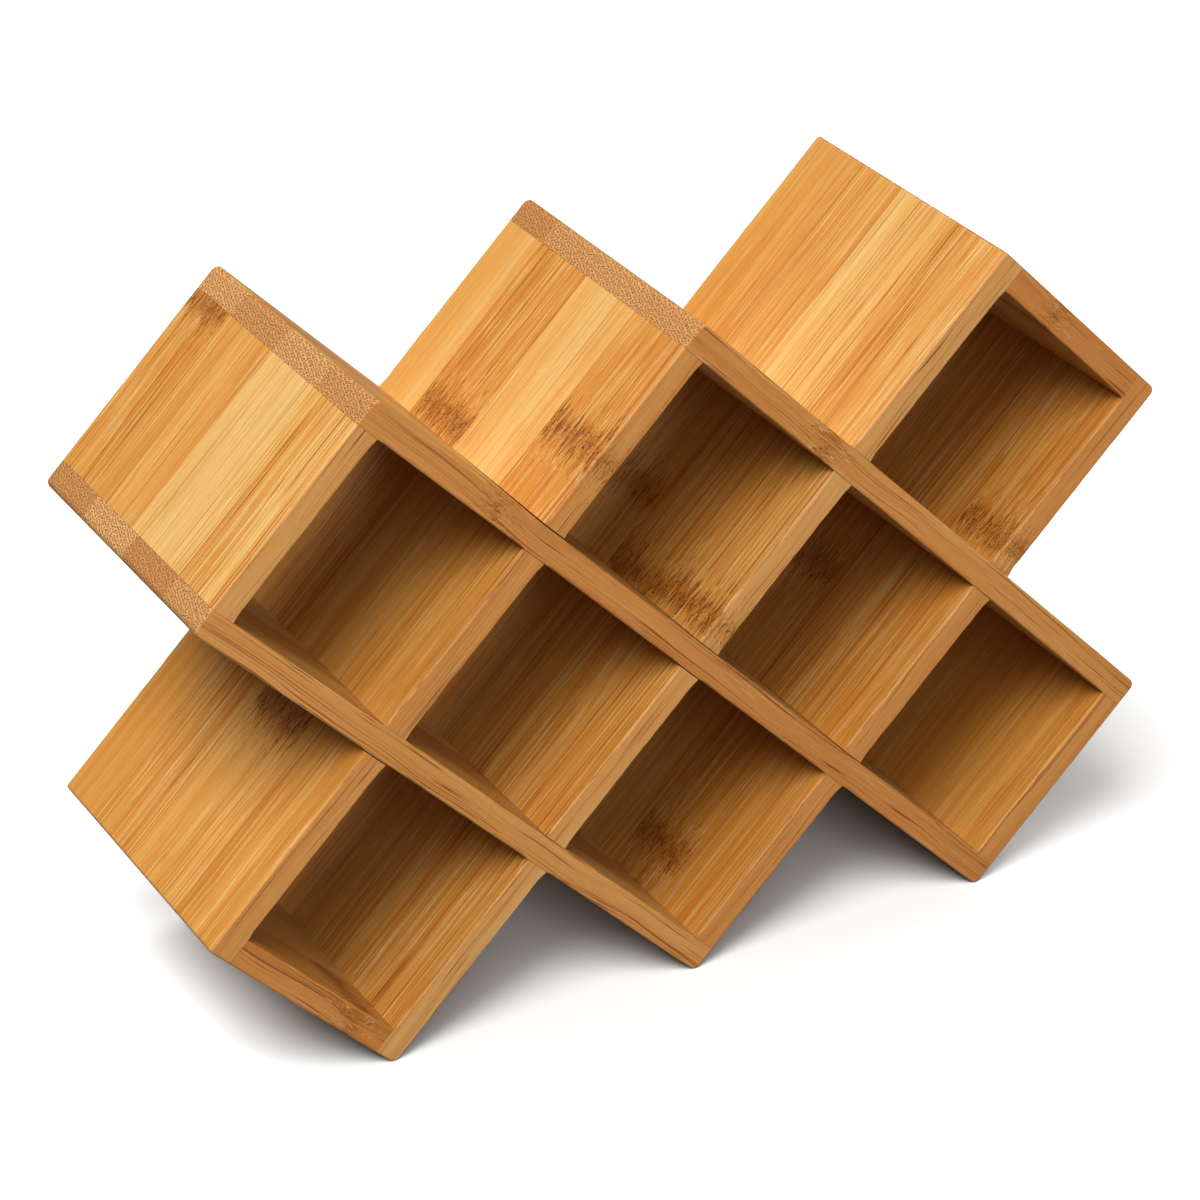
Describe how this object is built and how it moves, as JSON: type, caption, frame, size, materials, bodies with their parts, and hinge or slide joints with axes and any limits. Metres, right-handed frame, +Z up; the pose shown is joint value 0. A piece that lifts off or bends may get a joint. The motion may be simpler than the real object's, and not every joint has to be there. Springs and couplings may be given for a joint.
{
  "type": "wine rack",
  "caption": "Free-standing countertop bottle rack: laminated bamboo boards crossed at right angles and stood on edge, making diamond-shaped bays open at the front and back.",
  "frame": {"origin": "middle of the footprint, on the surface that the three lowest corners stand on", "axes": "+X to the right seen from the front, +Y towards the back, +Z up; the front edges of the boards face -Y"},
  "size_m": [0.4392, 0.145, 0.2978],
  "materials": {
    "bamboo": "edge-laminated carbonised and natural bamboo strips under a satin clear lacquer",
    "dowel_wood": "plain unfinished bamboo dowel, fluted"
  },
  "bodies": {
    "root": {"down_board_short_left": "bamboo", "down_board_lower": "bamboo", "down_board_middle": "bamboo", "down_board_upper": "bamboo", "down_board_short_right": "bamboo", "up_board_short_left": "bamboo", "up_board_left": "bamboo", "up_board_middle": "bamboo", "up_board_right": "bamboo", "up_board_short_right": "bamboo", "dowel_left_hip_front": "dowel_wood", "dowel_left_hip_back": "dowel_wood", "dowel_left_foot_front": "dowel_wood", "dowel_left_foot_back": "dowel_wood", "dowel_right_peak_front": "dowel_wood", "dowel_right_peak_back": "dowel_wood", "dowel_right_shoulder_front": "dowel_wood", "dowel_right_shoulder_back": "dowel_wood", "dowel_left_shoulder_front": "dowel_wood", "dowel_left_shoulder_back": "dowel_wood", "dowel_left_peak_front": "dowel_wood", "dowel_left_peak_back": "dowel_wood", "dowel_middle_peak_front": "dowel_wood", "dowel_middle_peak_back": "dowel_wood", "dowel_middle_foot_front": "dowel_wood", "dowel_middle_foot_back": "dowel_wood", "dowel_right_foot_front": "dowel_wood", "dowel_right_foot_back": "dowel_wood", "dowel_right_hip_front": "dowel_wood", "dowel_right_hip_back": "dowel_wood"}
  },
  "joints": []
}
